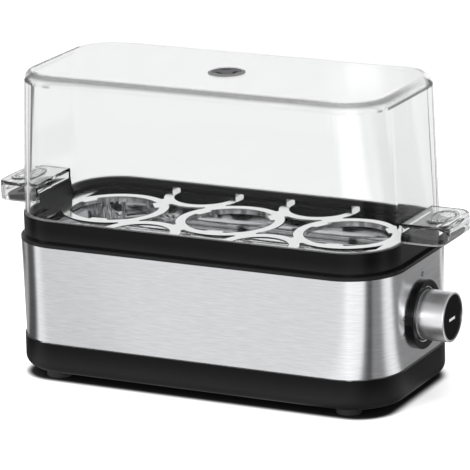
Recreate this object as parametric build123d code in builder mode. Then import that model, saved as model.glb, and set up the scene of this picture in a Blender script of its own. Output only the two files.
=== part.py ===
from build123d import *
from math import acos, atan, cos, degrees, radians, sin
import os

os.makedirs("parts", exist_ok=True)

# Electric egg cooker for three eggs. The origin is on the table under the middle of the body,
# +X runs along the body towards the knob, +Y goes to the back and +Z up. Sizes are millimetres.

# Outline of the body, seen from above, at the top edge of the steel sleeve
body_length = 210.0
body_width = 99.0
corner_radius = 28.0

# Heights above the table
foot_height = 4.0
base_height = 16.0
sleeve_height = 50.5
lip_height = 1.7
groove_height = 1.6
collar_height = 10.0
lid_height = 73.7

base_top = foot_height + base_height
sleeve_top = base_top + sleeve_height
lip_top = sleeve_top + lip_height
groove_top = lip_top + groove_height
collar_top = groove_top + collar_height
lid_top = collar_top + lid_height

# Steel sleeve and black base
sleeve_wall = 0.8
sleeve_draft = 1.0
fit_gap = 0.2
base_proud = 0.8
base_wall = 2.4
base_edge_radius = 5.0
upstand_height = 6.0
vent_slot_length = 16.0
vent_slot_gap = 2.6
vent_slot_pitch = 9.0
vent_row_pitch = 26.0
vent_slot_count = 7
base_inset = sleeve_draft - base_proud
upstand_inset = sleeve_draft + sleeve_wall + fit_gap
pan_floor_top = foot_height + base_wall

# Insets of the black top frame, measured inwards from the body outline
lip_edge_radius = 0.5
collar_inset = 1.8
groove_inset = 3.6
skirt_gap = 0.6
skirt_inset = sleeve_wall + skirt_gap
skirt_depth = 8.0
lid_seat_width = 3.0
collar_slope_width = 1.9
collar_slope_height = 2.2
ledge_width = 4.0
bowl_shelf_width = 3.4
pocket_inset = collar_inset + lid_seat_width + collar_slope_width
ledge_inset = pocket_inset + ledge_width
opening_inset = ledge_inset + bowl_shelf_width

# Heating bowl and its seal
seal_thickness = 0.8
bowl_sheet = 0.8
bowl_gap = 0.6
bowl_depth = 16.0
bowl_draft_angle = 6.0
bowl_edge_radius = 5.0
shelf_rise = 3.6
frame_shelf_top = sleeve_top + shelf_rise
bowl_flange_bottom = frame_shelf_top + seal_thickness
bowl_flange_top = bowl_flange_bottom + bowl_sheet
bowl_wall_inset = opening_inset + bowl_gap
bowl_floor_bottom = bowl_flange_top - bowl_depth - bowl_sheet

# Egg tray, a stamped sheet with three rings
tray_sheet = 0.8
tray_drop = 3.6
ring_pitch = 65.5
ring_inner_radius = 22.6
ring_band = 4.9
ring_lip_depth = 2.0
rest_depth = 2.8
rest_width = 9.0
rest_angle = 35.0
rest_count = 3
rest_edge_radius = 1.2
arm_inner_radius = 15.6
arm_band = 5.2
web_gap = 0.5
web_lap = 1.0
web_reach = 5.5
tray_side_gap = 1.8
tray_half_width = body_width / 2 - pocket_inset - tray_side_gap
tip_height = 2.0
tip_width = 4.6
end_strip_width = 6.4
tongue_margin = 2.0
end_strip_tuck = 13.0
end_strip_half = tray_half_width - end_strip_tuck
end_strip_radius = 2.6
tray_top = collar_top - tray_drop
tray_bottom = tray_top - tray_sheet
ring_outer_radius = ring_inner_radius + ring_band
arm_outer_radius = arm_inner_radius + arm_band
web_turn = degrees(acos(ring_pitch / 2 / (ring_outer_radius + web_gap + arm_outer_radius)))
arm_circle_offset = (ring_outer_radius + web_gap + arm_outer_radius) * sin(radians(web_turn))
ring_xs = [-ring_pitch, 0.0, ring_pitch]
gap_xs = [-ring_pitch / 2, ring_pitch / 2]

# Tray handles, one at each end, under the lid's clear handles
handle_plate = 1.8
handle_plate_half = 16.7
handle_plate_rise = 8.3
handle_plate_radius = 3.0
handle_foot_height = 2.2
handle_foot_length = 8.0
handle_reach = 20.6
handle_tab_thickness = 3.6
handle_tab_tilt = 7.5
handle_tab_radius = 8.0
handle_hole_inner = 4.4
handle_hole_band = 4.6
handle_hole_radius = 5.0
plate_wall_gap = 0.4
frame_end_wall = 1.2
rivet_radius = 1.6
rivet_head_radius = 3.0
rivet_head_height = 1.0
rivet_edge_radius = 0.5
rivet_head_gap = 0.4
rivet_half_pitch = 9.0

# Clear lid
lid_inset = 2.2
lid_wall = 2.2
lid_draft_angle = 2.2
lid_edge_radius = 5.0
vent_radius = 8.2
vent_lip = 1.2
vent_lip_height = 0.5
vent_slot_radius = 4.6
vent_slot_width = 1.6
notch_gap = 0.6
notch_height = 5.2
hood_reach = 21.8
hood_half_width = 19.0
hood_wall = 1.8
hood_rise = 9.7
hood_radius = 8.0
hood_end_radius = 6.0
hood_edge_radius = 1.2
rib_height = 0.5
rib_width = 0.9
rib_pitch = 2.3
rib_count = 5

# Control at the +X end
knob_height = 43.0
knob_radius = 12.6
knob_reach = 16.0
knob_skin_wall = 1.2
knob_clearance = 0.6
knob_rim_radius = 0.5
core_web = 2.0
cap_thickness = 1.6
cap_recess = 0.5
pointer_length = 6.8
pointer_width = 1.4
pointer_depth = 0.6
pointer_offset = -1.0
bezel_radius = 17.5
bezel_height = 2.2
bezel_base = 0.8
bezel_recess_radius = 14.2
bezel_edge_radius = 0.8
shaft_radius = 3.0
shaft_flat = 0.8
shaft_fit = 0.06
bush_radius = 4.5
nut_radius = 6.5
nut_height = 2.0
control_radius = 9.0
control_depth = 11.0
lug_offset = 1.5
lug_pitch = 5.0
lug_width = 2.2
lug_length = 5.0
shaft_inner = 6.0
shaft_end_gap = 0.3

# Heater under the bowl
spreader_thickness = 3.0
spreader_inset = 24.0
spreader_chamfer = 0.6
tube_radius = 3.2
tube_half_pitch = 17.0
tube_straight = 48.0
cold_pin_radius = 1.5
cold_pin_length = 9.0
strap_offset = 33.6
strap_sheet = 1.0
strap_width = 8.0
strap_fit = 0.05
thermostat_radius = 8.0
thermostat_height = 9.0
thermostat_rim = 3.6
thermostat_step = 1.5
thermostat_tab_x = 3.5
fuse_radius = 2.2
fuse_length = 12.0
fuse_edge_radius = 0.5
fuse_x = -20.0
tab_width = 6.3
tab_thickness = 0.8
tab_length = 8.0

# Screws, columns and the shield that they clamp
boss_inset = 7.5
boss_radius = 4.0
column_top = 30.0
shield_sheet = 0.6
shield_inset = 3.4
wire_slot_x = 60.0
wire_slot_length = 20.0
wire_slot_width = 8.0
screw_radius = 1.7
screw_hole_gap = 0.2
screw_hole_spare = 2.0
screw_head_radius = 3.2
screw_head_height = 2.2
screw_depth = 12.0

# Feet
foot_radius = 6.5
foot_inset_x = 24.0
foot_inset_y = 12.8
foot_socket_depth = 1.2
foot_chamfer = 0.6

# Electronics on the pan floor
board_length = 96.0
board_width = 52.0
board_sheet = 1.6
board_corner_radius = 2.0
board_x = 18.0
board_post_height = 4.0
board_post_radius = 3.5
board_screw_radius = 1.4
board_screw_head = 2.6
board_screw_head_height = 1.8
board_screw_inset = 4.5
relay_size = (19.0, 15.4, 15.2)
relay_edge = 0.6
capacitor_size = (18.0, 8.0, 13.0)
capacitor_radius = 0.6
terminal_size = (20.0, 9.0, 10.0)
terminal_pitch = 6.5
terminal_hole_radius = 1.9
terminal_hole_depth = 4.0
buzzer_radius = 6.0
buzzer_height = 9.0
buzzer_hole_radius = 1.0
buzzer_hole_depth = 3.0
relay_place = (board_x - board_length / 4, board_width / 6)
capacitor_place = (board_x - board_length / 4, -board_width / 4)
terminal_place = (board_x, -board_width / 4)
buzzer_place = (board_x + board_length / 4, board_width / 5)

# Cord outlet at the back of the base
gland_x = -62.0
gland_radius = 4.8
gland_flange_radius = 6.0
gland_flange_height = 1.6
gland_bore_radius = 3.3
gland_length = 8.0
gland_height = base_top - 6.6


def outline(inset, height):
    """Draw the body outline, moved inwards by an inset, at a height."""
    with BuildSketch(Plane.XY.offset(height)) as sketch:
        RectangleRounded(
            body_length - 2 * inset,
            body_width - 2 * inset,
            corner_radius - inset,
        )
    return sketch.sketch


def slab(inset, bottom, top, mode=Mode.ADD, taper=0.0):
    """Extrude the inset body outline between two heights."""
    extrude(outline(inset, bottom), amount=top - bottom, taper=taper, mode=mode)


def finish(builder, name):
    """Label a finished piece and write it."""
    builder.part.label = name
    export_step(builder.part, f"parts/{name}.step")


def corner_points(inset):
    """Points on the diagonals of the four rounded corners, at an inset from the outline."""
    reach = (corner_radius - inset) * cos(radians(45))
    x = body_length / 2 - corner_radius + reach
    y = body_width / 2 - corner_radius + reach
    return [(x, y), (-x, y), (-x, -y), (x, -y)]


boss_points = corner_points(boss_inset)
foot_points = [
    (sx * (body_length / 2 - foot_inset_x), sy * (body_width / 2 - foot_inset_y))
    for sx in (-1, 1)
    for sy in (-1, 1)
]
board_post_points = [
    (
        board_x + sx * (board_length / 2 - board_screw_inset),
        sy * (board_width / 2 - board_screw_inset),
    )
    for sx in (-1, 1)
    for sy in (-1, 1)
]
board_bottom = pan_floor_top + board_post_height
board_top = board_bottom + board_sheet
sleeve_angle = degrees(atan(sleeve_draft / sleeve_height))
end_x = body_length / 2
plate_outer_x = end_x - collar_inset - frame_end_wall - plate_wall_gap
tongue_half = handle_plate_half - tongue_margin
plate_inner_x = plate_outer_x - handle_plate
tongue_outer_x = plate_inner_x - strap_fit
tongue_length = tongue_outer_x - ring_pitch - ring_inner_radius - ring_band / 2
tongue_x = tongue_outer_x - tongue_length / 2
handle_foot_bottom = tray_bottom - handle_foot_height
recess_floor = handle_foot_bottom - rivet_head_height - rivet_head_gap
rivet_x = plate_inner_x - rivet_head_radius - rivet_head_gap
rivet_points = [(sx * rivet_x, sy * rivet_half_pitch) for sx in (-1, 1) for sy in (-1, 1)]
tip_points = [
    (gap_x + sx * (arm_outer_radius + arm_inner_radius) / 2, sy * (tray_half_width - tray_sheet / 2))
    for gap_x in gap_xs
    for sx in (-1, 1)
    for sy in (-1, 1)
]
hood_end = end_x - collar_inset + hood_reach

# Base pan: a moulded tray with an upstand inside the sleeve, screw columns and board posts
with BuildPart() as base_pan:
    slab(base_inset, foot_height, base_top)
    bottom_edges = base_pan.faces().sort_by(Axis.Z)[0].edges()
    fillet(bottom_edges, base_edge_radius)
    slab(upstand_inset, base_top, base_top + upstand_height)
    slab(upstand_inset + base_wall, pan_floor_top, base_top + upstand_height, Mode.SUBTRACT)
    with BuildSketch(Plane.XY.offset(pan_floor_top)):
        with Locations(*boss_points):
            Circle(boss_radius)
    extrude(amount=column_top - pan_floor_top)
    with BuildSketch(Plane.XY.offset(pan_floor_top)):
        with Locations(*board_post_points):
            Circle(board_post_radius)
    extrude(amount=board_post_height)
    with BuildSketch(Plane.XY.offset(foot_height)):
        with Locations(*boss_points):
            Circle(screw_radius + screw_hole_gap)
    extrude(amount=column_top - foot_height, mode=Mode.SUBTRACT)
    with BuildSketch(Plane.XY.offset(foot_height)):
        with Locations(*boss_points):
            Circle(screw_head_radius + screw_hole_gap)
    extrude(amount=base_wall + screw_head_height, mode=Mode.SUBTRACT)
    with BuildSketch(Plane.XY.offset(board_bottom)):
        with Locations(*board_post_points):
            Circle(board_screw_radius)
    extrude(amount=-board_post_height, mode=Mode.SUBTRACT)
    with BuildSketch(Plane.XY.offset(foot_height)):
        with Locations(*foot_points):
            Circle(foot_radius + screw_hole_gap)
    extrude(amount=foot_socket_depth, mode=Mode.SUBTRACT)
    with BuildSketch(Plane.XY.offset(foot_height)):
        with GridLocations(vent_slot_pitch, vent_row_pitch, vent_slot_count, 2):
            SlotOverall(vent_slot_length, vent_slot_gap, rotation=90)
    extrude(amount=base_wall, mode=Mode.SUBTRACT)
    with BuildSketch(Plane.XZ.offset(-body_width / 2 + base_inset)):
        with Locations((gland_x, gland_height)):
            Circle(gland_radius)
    extrude(amount=gland_length, mode=Mode.SUBTRACT)
    with BuildSketch(Plane.XZ.offset(-body_width / 2 + base_inset)):
        with Locations((gland_x, gland_height)):
            Circle(gland_flange_radius)
    extrude(amount=gland_flange_height, mode=Mode.SUBTRACT)
finish(base_pan, "base_pan")

# Rubber feet, pressed into shallow sockets in the pan
with BuildPart() as rubber_feet:
    with BuildSketch():
        with Locations(*foot_points):
            Circle(foot_radius)
    extrude(amount=foot_height + foot_socket_depth)
    foot_rims = rubber_feet.edges().filter_by(GeomType.CIRCLE).group_by(Axis.Z)[0]
    chamfer(foot_rims, foot_chamfer)
finish(rubber_feet, "rubber_feet")

# Brushed steel sleeve, slightly narrower at its foot, with the hole for the control
with BuildPart() as steel_sleeve:
    slab(sleeve_draft, base_top, sleeve_top, taper=-sleeve_angle)
    slab(sleeve_draft + sleeve_wall, base_top, sleeve_top, Mode.SUBTRACT, taper=-sleeve_angle)
    with BuildSketch(Plane.YZ.offset(end_x - 2 * upstand_inset)):
        with Locations((0, knob_height)):
            Circle(bush_radius + fit_gap)
    extrude(amount=3 * upstand_inset, mode=Mode.SUBTRACT)
finish(steel_sleeve, "steel_sleeve")

# Top frame: lip on the sleeve, groove, collar, ledge for the egg tray and shelf for the bowl
frame_bottom = sleeve_top - skirt_depth
with BuildPart() as top_frame:
    slab(skirt_inset, frame_bottom, sleeve_top)
    slab(0, sleeve_top, lip_top)
    lip_edges = top_frame.edges().group_by(Axis.Z)[-1]
    fillet(lip_edges, lip_edge_radius)
    slab(groove_inset, lip_top, groove_top)
    slab(collar_inset, groove_top, collar_top)
    slab(opening_inset, frame_bottom, collar_top, Mode.SUBTRACT)
    slab(ledge_inset, frame_shelf_top, collar_top, Mode.SUBTRACT)
    slab(pocket_inset, tray_bottom, collar_top, Mode.SUBTRACT)
    slope_angle = degrees(atan(collar_slope_width / collar_slope_height))
    slab(
        pocket_inset,
        collar_top - collar_slope_height,
        collar_top,
        Mode.SUBTRACT,
        taper=-slope_angle,
    )
    with BuildSketch(Plane.XY.offset(recess_floor)):
        with Locations((plate_outer_x - pocket_inset, 0), (-plate_outer_x + pocket_inset, 0)):
            Rectangle(
                2 * (pocket_inset + plate_wall_gap),
                2 * (handle_plate_half + notch_gap),
            )
    extrude(amount=collar_top - recess_floor, mode=Mode.SUBTRACT)
    with BuildSketch(Plane.XY.offset(column_top + shield_sheet)):
        with Locations(*boss_points):
            Circle(boss_radius)
    extrude(amount=frame_shelf_top - column_top - shield_sheet)
    with BuildSketch(Plane.XY.offset(column_top)):
        with Locations(*boss_points):
            Circle(screw_radius)
    extrude(amount=screw_depth + screw_hole_spare, mode=Mode.SUBTRACT)
finish(top_frame, "top_frame")

# Long screws that draw the base, the shield, the sleeve and the frame together
with BuildPart() as base_screws:
    with BuildSketch(Plane.XY.offset(foot_height + base_wall)):
        with Locations(*boss_points):
            Circle(screw_head_radius)
    extrude(amount=screw_head_height)
    with BuildSketch(Plane.XY.offset(foot_height + base_wall + screw_head_height)):
        with Locations(*boss_points):
            Circle(screw_radius)
    screw_shank = column_top - foot_height - base_wall - screw_head_height + screw_depth
    extrude(amount=screw_shank)
finish(base_screws, "base_screws")

# Shield between the heater and the electronics, clamped between columns and bosses
with BuildPart() as heat_shield:
    slab(shield_inset, column_top, column_top + shield_sheet)
    with BuildSketch(Plane.XY.offset(column_top)):
        with Locations(*boss_points):
            Circle(screw_radius + screw_hole_gap)
    extrude(amount=shield_sheet, mode=Mode.SUBTRACT)
    with BuildSketch(Plane.XY.offset(column_top)):
        with Locations((wire_slot_x, 0)):
            SlotOverall(wire_slot_length, wire_slot_width, rotation=90)
    extrude(amount=shield_sheet, mode=Mode.SUBTRACT)
finish(heat_shield, "heat_shield")

# Silicone seal under the flange of the bowl
with BuildPart() as bowl_seal:
    slab(ledge_inset + fit_gap, frame_shelf_top, bowl_flange_bottom)
    slab(opening_inset - fit_gap, frame_shelf_top, bowl_flange_bottom, Mode.SUBTRACT)
finish(bowl_seal, "bowl_seal")

# Stainless bowl that holds the water, with a flange, drafted walls and a rounded floor
with BuildPart() as heating_bowl:
    slab(bowl_wall_inset, bowl_flange_top, bowl_floor_bottom, taper=bowl_draft_angle)
    floor_edges = heating_bowl.faces().sort_by(Axis.Z)[0].edges()
    fillet(floor_edges, bowl_edge_radius + bowl_sheet)
    slab(ledge_inset + fit_gap, bowl_flange_bottom, bowl_flange_top)
    with BuildPart(mode=Mode.PRIVATE) as bowl_inside:
        slab(
            bowl_wall_inset + bowl_sheet,
            bowl_flange_top,
            bowl_floor_bottom + bowl_sheet,
            taper=bowl_draft_angle,
        )
        inside_edges = bowl_inside.faces().sort_by(Axis.Z)[0].edges()
        fillet(inside_edges, bowl_edge_radius)
    add(bowl_inside.part, mode=Mode.SUBTRACT)
finish(heating_bowl, "heating_bowl")

# Aluminium plate that spreads the heat under the bowl
spreader_bottom = bowl_floor_bottom - spreader_thickness
with BuildPart() as heat_spreader:
    slab(spreader_inset, spreader_bottom, bowl_floor_bottom)
    spreader_edges = heat_spreader.edges().group_by(Axis.Z)[0]
    chamfer(spreader_edges, spreader_chamfer)
finish(heat_spreader, "heat_spreader")

# Tubular heater: two straight legs joined by a half turn, with cold pins at the open end
tube_z = spreader_bottom - tube_radius
with BuildPart() as heating_element:
    with BuildLine(Plane.XY.offset(tube_z)):
        Line((tube_straight, -tube_half_pitch), (-tube_straight, -tube_half_pitch))
        ThreePointArc(
            (-tube_straight, -tube_half_pitch),
            (-tube_straight - tube_half_pitch, 0),
            (-tube_straight, tube_half_pitch),
        )
        Line((-tube_straight, tube_half_pitch), (tube_straight, tube_half_pitch))
    with BuildSketch(Plane.YZ.offset(tube_straight)):
        with Locations((-tube_half_pitch, tube_z)):
            Circle(tube_radius)
    sweep()
    with BuildSketch(Plane.YZ.offset(tube_straight)):
        with Locations((-tube_half_pitch, tube_z), (tube_half_pitch, tube_z)):
            Circle(cold_pin_radius)
    extrude(amount=cold_pin_length)
finish(heating_element, "heating_element")

# Straps that hold the heater against the spreader
with BuildPart() as heater_straps:
    for strap_x in (-strap_offset, strap_offset):
        strap_plane = Plane.YZ.offset(strap_x - strap_width / 2)
        for side in (-1, 1):
            with BuildSketch(strap_plane):
                with Locations((side * tube_half_pitch, tube_z)):
                    Circle(tube_radius + strap_fit + strap_sheet)
                    Rectangle(
                        2 * (tube_radius + strap_fit + strap_sheet),
                        tube_radius,
                        align=(Align.CENTER, Align.MIN),
                    )
                with Locations((side * tube_half_pitch, spreader_bottom)):
                    Rectangle(
                        4 * tube_radius + 2 * strap_width,
                        strap_sheet,
                        align=(Align.CENTER, Align.MAX),
                    )
                with Locations((side * tube_half_pitch, tube_z)):
                    Circle(tube_radius + strap_fit, mode=Mode.SUBTRACT)
                    Rectangle(
                        2 * (tube_radius + strap_fit),
                        2 * tube_radius,
                        align=(Align.CENTER, Align.MIN),
                        mode=Mode.SUBTRACT,
                    )
                with Locations((0, spreader_bottom)):
                    Rectangle(
                        4 * tube_half_pitch + 8 * strap_width,
                        4 * tube_radius,
                        align=(Align.CENTER, Align.MIN),
                        mode=Mode.SUBTRACT,
                    )
            extrude(amount=strap_width)
finish(heater_straps, "heater_straps")

# Thermostat, clipped to the underside of the spreader between the heater's legs
with BuildPart() as thermostat:
    with BuildSketch(Plane.XY.offset(spreader_bottom)):
        Circle(thermostat_radius)
    extrude(amount=-thermostat_rim)
    with BuildSketch(Plane.XY.offset(spreader_bottom)):
        Circle(thermostat_radius - thermostat_step)
    extrude(amount=-thermostat_height)
    with BuildSketch(Plane.XY.offset(spreader_bottom - thermostat_height)):
        with Locations((-thermostat_tab_x, 0), (thermostat_tab_x, 0)):
            Rectangle(tab_thickness, tab_width)
    extrude(amount=-tab_length)
finish(thermostat, "thermostat")

# Thermal fuse with the clip that presses it against the spreader
fuse_z = spreader_bottom - fuse_radius
fuse_plane = Plane.YZ.offset(fuse_x - fuse_length / 2)
with BuildPart() as thermal_fuse:
    with BuildSketch(fuse_plane):
        with Locations((0, fuse_z)):
            Circle(fuse_radius)
    extrude(amount=fuse_length)
    fuse_rims = thermal_fuse.edges().filter_by(GeomType.CIRCLE)
    fillet(fuse_rims, fuse_edge_radius)
finish(thermal_fuse, "thermal_fuse")

with BuildPart() as fuse_clip:
    with BuildSketch(Plane.YZ.offset(fuse_x - strap_width / 4)):
        with Locations((0, spreader_bottom)):
            Rectangle(4 * fuse_radius + strap_width, strap_sheet, align=(Align.CENTER, Align.MAX))
        with Locations((0, fuse_z)):
            Circle(fuse_radius + strap_fit + strap_sheet)
            Circle(fuse_radius + strap_fit, mode=Mode.SUBTRACT)
            Rectangle(
                2 * (fuse_radius + strap_fit),
                2 * fuse_radius,
                align=(Align.CENTER, Align.MIN),
                mode=Mode.SUBTRACT,
            )
        with Locations((0, spreader_bottom)):
            Rectangle(
                8 * fuse_radius + strap_width,
                4 * fuse_radius,
                align=(Align.CENTER, Align.MIN),
                mode=Mode.SUBTRACT,
            )
    extrude(amount=strap_width / 2)
finish(fuse_clip, "fuse_clip")

# Ceramic beads and spade tabs on the cold pins of the heater
tube_ends = [(-tube_half_pitch, tube_z), (tube_half_pitch, tube_z)]
with BuildPart() as element_beads:
    with BuildSketch(Plane.YZ.offset(tube_straight)):
        with Locations(*tube_ends):
            Circle(tube_radius - fit_gap)
            Circle(cold_pin_radius + strap_fit, mode=Mode.SUBTRACT)
    extrude(amount=cold_pin_length / 2)
finish(element_beads, "element_beads")

with BuildPart() as element_tabs:
    with BuildSketch(Plane.YZ.offset(tube_straight + cold_pin_length)):
        with Locations(*tube_ends):
            Rectangle(tab_width, tab_thickness)
    extrude(amount=tab_length)
finish(element_tabs, "element_tabs")

# Circuit board on the four posts of the pan, with its screws and its larger parts
with BuildPart() as control_board:
    with BuildSketch(Plane.XY.offset(board_bottom)):
        with Locations((board_x, 0)):
            RectangleRounded(board_length, board_width, board_corner_radius)
        with Locations(*board_post_points):
            Circle(board_screw_radius + screw_hole_gap, mode=Mode.SUBTRACT)
    extrude(amount=board_sheet)
finish(control_board, "control_board")

with BuildPart() as board_screws:
    with BuildSketch(Plane.XY.offset(board_top)):
        with Locations(*board_post_points):
            Circle(board_screw_head)
    extrude(amount=board_screw_head_height)
    with BuildSketch(Plane.XY.offset(board_top)):
        with Locations(*board_post_points):
            Circle(board_screw_radius)
    extrude(amount=-board_sheet - board_post_height + fit_gap)
finish(board_screws, "board_screws")

with BuildPart() as relay:
    with BuildSketch(Plane.XY.offset(board_top)):
        with Locations(relay_place):
            Rectangle(relay_size[0], relay_size[1])
    extrude(amount=relay_size[2])
    relay_top = relay.faces().sort_by(Axis.Z)[-1].edges()
    chamfer(relay_top, relay_edge)
finish(relay, "relay")

with BuildPart() as capacitor:
    with BuildSketch(Plane.XY.offset(board_top)):
        with Locations(capacitor_place):
            RectangleRounded(capacitor_size[0], capacitor_size[1], capacitor_radius)
    extrude(amount=capacitor_size[2])
finish(capacitor, "capacitor")

with BuildPart() as terminal_block:
    with BuildSketch(Plane.XY.offset(board_top)):
        with Locations(terminal_place):
            Rectangle(terminal_size[0], terminal_size[1])
    extrude(amount=terminal_size[2])
    with BuildSketch(Plane.XY.offset(board_top + terminal_size[2])):
        with Locations(terminal_place):
            with GridLocations(terminal_pitch, 1, 3, 1):
                Circle(terminal_hole_radius)
    extrude(amount=-terminal_hole_depth, mode=Mode.SUBTRACT)
finish(terminal_block, "terminal_block")

with BuildPart() as buzzer:
    with BuildSketch(Plane.XY.offset(board_top)):
        with Locations(buzzer_place):
            Circle(buzzer_radius)
    extrude(amount=buzzer_height)
    with BuildSketch(Plane.XY.offset(board_top + buzzer_height)):
        with Locations(buzzer_place):
            Circle(buzzer_hole_radius)
    extrude(amount=-buzzer_hole_depth, mode=Mode.SUBTRACT)
finish(buzzer, "buzzer")

# Bush in the back of the base that the mains cord leaves through
gland_face = Plane.XZ.offset(-body_width / 2 + base_inset)
with BuildPart() as cord_gland:
    with BuildSketch(gland_face):
        with Locations((gland_x, gland_height)):
            Circle(gland_flange_radius)
    extrude(amount=gland_flange_height)
    with BuildSketch(gland_face):
        with Locations((gland_x, gland_height)):
            Circle(gland_radius)
    extrude(amount=gland_length)
    with BuildSketch(gland_face):
        with Locations((gland_x, gland_height)):
            Circle(gland_bore_radius)
    extrude(amount=gland_length, mode=Mode.SUBTRACT)
finish(cord_gland, "cord_gland")

# Rotary control behind the end wall, with its threaded bush, lugs and nut
control_front = end_x - upstand_inset
seat_x = end_x + bezel_base
with BuildPart() as rotary_control:
    with BuildSketch(Plane.YZ.offset(control_front)):
        with Locations((0, knob_height)):
            Circle(control_radius)
    extrude(amount=-control_depth)
    with BuildSketch(Plane.YZ.offset(control_front)):
        with Locations((0, knob_height)):
            Circle(bush_radius)
    extrude(amount=seat_x + nut_height - control_front)
    with BuildSketch(Plane.YZ.offset(control_front - control_depth + lug_offset)):
        with Locations((0, knob_height - control_radius)):
            with GridLocations(lug_pitch, 1, 3, 1):
                Rectangle(lug_width, lug_length)
    extrude(amount=tab_thickness)
    with BuildSketch(Plane.YZ.offset(control_front - shaft_inner)):
        with Locations((0, knob_height)):
            Circle(shaft_radius + shaft_fit)
    extrude(amount=2 * (shaft_inner + nut_height + bezel_base), mode=Mode.SUBTRACT)
finish(rotary_control, "rotary_control")

with BuildPart() as control_nut:
    with BuildSketch(Plane.YZ.offset(seat_x)):
        with Locations((0, knob_height)):
            RegularPolygon(nut_radius, 6)
            Circle(bush_radius, mode=Mode.SUBTRACT)
    extrude(amount=nut_height)
finish(control_nut, "control_nut")

# Black bezel ring on the end wall, its back following the slope of the sleeve
with BuildPart() as dial_bezel:
    with BuildSketch(Plane.YZ.offset(end_x - sleeve_draft - sleeve_wall)):
        with Locations((0, knob_height)):
            Circle(bezel_radius)
    extrude(amount=sleeve_draft + sleeve_wall + bezel_height)
    bezel_rim = dial_bezel.faces().sort_by(Axis.X)[-1].edges()
    fillet(bezel_rim, bezel_edge_radius)
    with BuildSketch(Plane.YZ.offset(end_x + bezel_height)):
        with Locations((0, knob_height)):
            Circle(bezel_recess_radius)
    extrude(amount=bezel_base - bezel_height, mode=Mode.SUBTRACT)
    with BuildSketch(Plane.YZ.offset(end_x - 2 * sleeve_draft - sleeve_wall)):
        with Locations((0, knob_height)):
            Circle(bush_radius + fit_gap)
    extrude(amount=4 * sleeve_draft + sleeve_wall + bezel_height, mode=Mode.SUBTRACT)
    slab(sleeve_draft, base_top, sleeve_top, Mode.SUBTRACT, taper=-sleeve_angle)
finish(dial_bezel, "dial_bezel")

# Shaft of the control, with a flat that drives the knob
knob_front = end_x + knob_reach
knob_base = seat_x + knob_clearance
core_front = knob_front - cap_recess - cap_thickness
shaft_front = core_front - core_web
with BuildPart() as control_shaft:
    with BuildSketch(Plane.YZ.offset(control_front - shaft_inner + shaft_end_gap)):
        with Locations((0, knob_height)):
            Circle(shaft_radius)
    extrude(amount=shaft_front - control_front + shaft_inner - shaft_end_gap)
    with BuildSketch(Plane.YZ.offset(seat_x + nut_height + knob_clearance)):
        with Locations((0, knob_height + shaft_radius)):
            Rectangle(2 * shaft_radius, 2 * shaft_flat)
    extrude(amount=knob_reach, mode=Mode.SUBTRACT)
finish(control_shaft, "control_shaft")

# Knob: black core on the shaft, aluminium skin, black cap and white pointer
with BuildPart() as knob_core:
    with BuildSketch(Plane.YZ.offset(knob_base)):
        with Locations((0, knob_height)):
            Circle(knob_radius - knob_skin_wall - strap_fit)
    extrude(amount=core_front - knob_base)
    with BuildSketch(Plane.YZ.offset(knob_base)):
        with Locations((0, knob_height)):
            Circle(nut_radius + 2 * knob_clearance)
    extrude(amount=seat_x + nut_height + knob_clearance - knob_base, mode=Mode.SUBTRACT)
    with BuildSketch(Plane.YZ.offset(knob_base)):
        with Locations((0, knob_height)):
            Circle(shaft_radius + strap_fit)
        with Locations((0, knob_height + shaft_radius + strap_fit)):
            Rectangle(2 * shaft_radius, 2 * shaft_flat, mode=Mode.SUBTRACT)
    extrude(amount=shaft_front + strap_fit - knob_base, mode=Mode.SUBTRACT)
finish(knob_core, "knob_core")

with BuildPart() as knob_skin:
    with BuildSketch(Plane.YZ.offset(knob_base)):
        with Locations((0, knob_height)):
            Circle(knob_radius)
    extrude(amount=knob_front - knob_base)
    front_rim = knob_skin.faces().sort_by(Axis.X)[-1].edges()
    fillet(front_rim, knob_rim_radius)
    with BuildSketch(Plane.YZ.offset(knob_base)):
        with Locations((0, knob_height)):
            Circle(knob_radius - knob_skin_wall)
    extrude(amount=knob_front - knob_base, mode=Mode.SUBTRACT)
finish(knob_skin, "knob_skin")

with BuildPart() as knob_cap:
    with BuildSketch(Plane.YZ.offset(core_front)):
        with Locations((0, knob_height)):
            Circle(knob_radius - knob_skin_wall - strap_fit)
    extrude(amount=cap_thickness)
    with BuildSketch(Plane.YZ.offset(core_front + cap_thickness)):
        with Locations((0, knob_height + pointer_offset)):
            Rectangle(pointer_length, pointer_width)
    extrude(amount=-pointer_depth, mode=Mode.SUBTRACT)
finish(knob_cap, "knob_cap")

with BuildPart() as knob_pointer:
    with BuildSketch(Plane.YZ.offset(core_front + cap_thickness)):
        with Locations((0, knob_height + pointer_offset)):
            Rectangle(pointer_length, pointer_width)
    extrude(amount=-pointer_depth)
finish(knob_pointer, "knob_pointer")

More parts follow.
